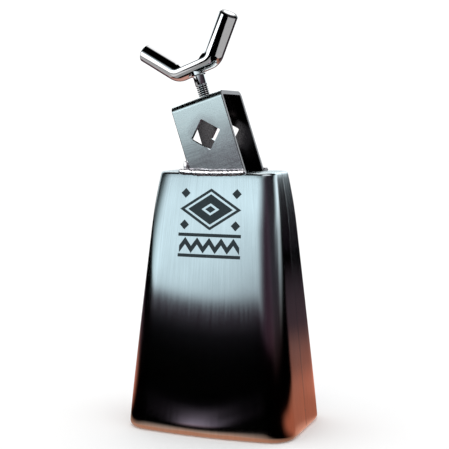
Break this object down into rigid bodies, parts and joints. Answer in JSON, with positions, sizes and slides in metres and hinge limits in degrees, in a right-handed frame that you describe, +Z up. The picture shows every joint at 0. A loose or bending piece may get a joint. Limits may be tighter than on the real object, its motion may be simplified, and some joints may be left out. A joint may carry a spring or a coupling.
{
  "type": "cowbell",
  "caption": "Sheet-steel cowbell with a welded strap bracket, and a wing bolt that clamps it on a mounting rod through diamond holes.",
  "frame": {"origin": "centre of the mounting rod, midway between the bracket's two plates", "axes": "+Z up from the mouth to the crown, +Y along the mounting rod from the front plate to the back plate, +X to the right seen from the front; the bracket leans towards -X"},
  "size_m": [0.0919, 0.0634, 0.2055],
  "materials": {
    "bell_sheet": "upright brushed, dark nickel plate",
    "seam_weld": "ground flush",
    "bracket_strap": "brushed across",
    "weld_bead": "plated weld bead",
    "nut": "plated",
    "pad": "turned",
    "stud": "bright plated",
    "handle": "polished",
    "stud_collar": "plated weld"
  },
  "bodies": {
    "bell": {"front_shell": "bell_sheet", "back_shell": "bell_sheet", "left_side_weld": "seam_weld", "right_side_weld": "seam_weld", "crown_weld": "seam_weld", "mounting_bracket": "bracket_strap", "front_bracket_weld": "weld_bead", "back_bracket_weld": "weld_bead", "weld_nut": "nut", "nut_tack_welds": "weld_bead"},
    "pressure_pad": {"pressure_pad": "pad"},
    "wing_bolt": {"threaded_stud": "stud", "wing_handle": "handle", "stud_weld": "stud_collar"}
  },
  "joints": [
    {"name": "pad_travel", "type": "slide", "parent": "bell", "child": "pressure_pad", "axis": [-0.309, 0, 0.9511], "range_m": [-0.009, 0]},
    {"name": "wing_turn", "type": "hinge", "parent": "pressure_pad", "child": "wing_bolt", "pos_m": [0, 0, 0], "axis": [-0.309, 0, 0.9511], "range_deg": [-3240, 0]}
  ],
  "couplings": [
    {"joint": "pad_travel", "follows": "wing_turn", "m_per_rad": 0.00015915}
  ]
}
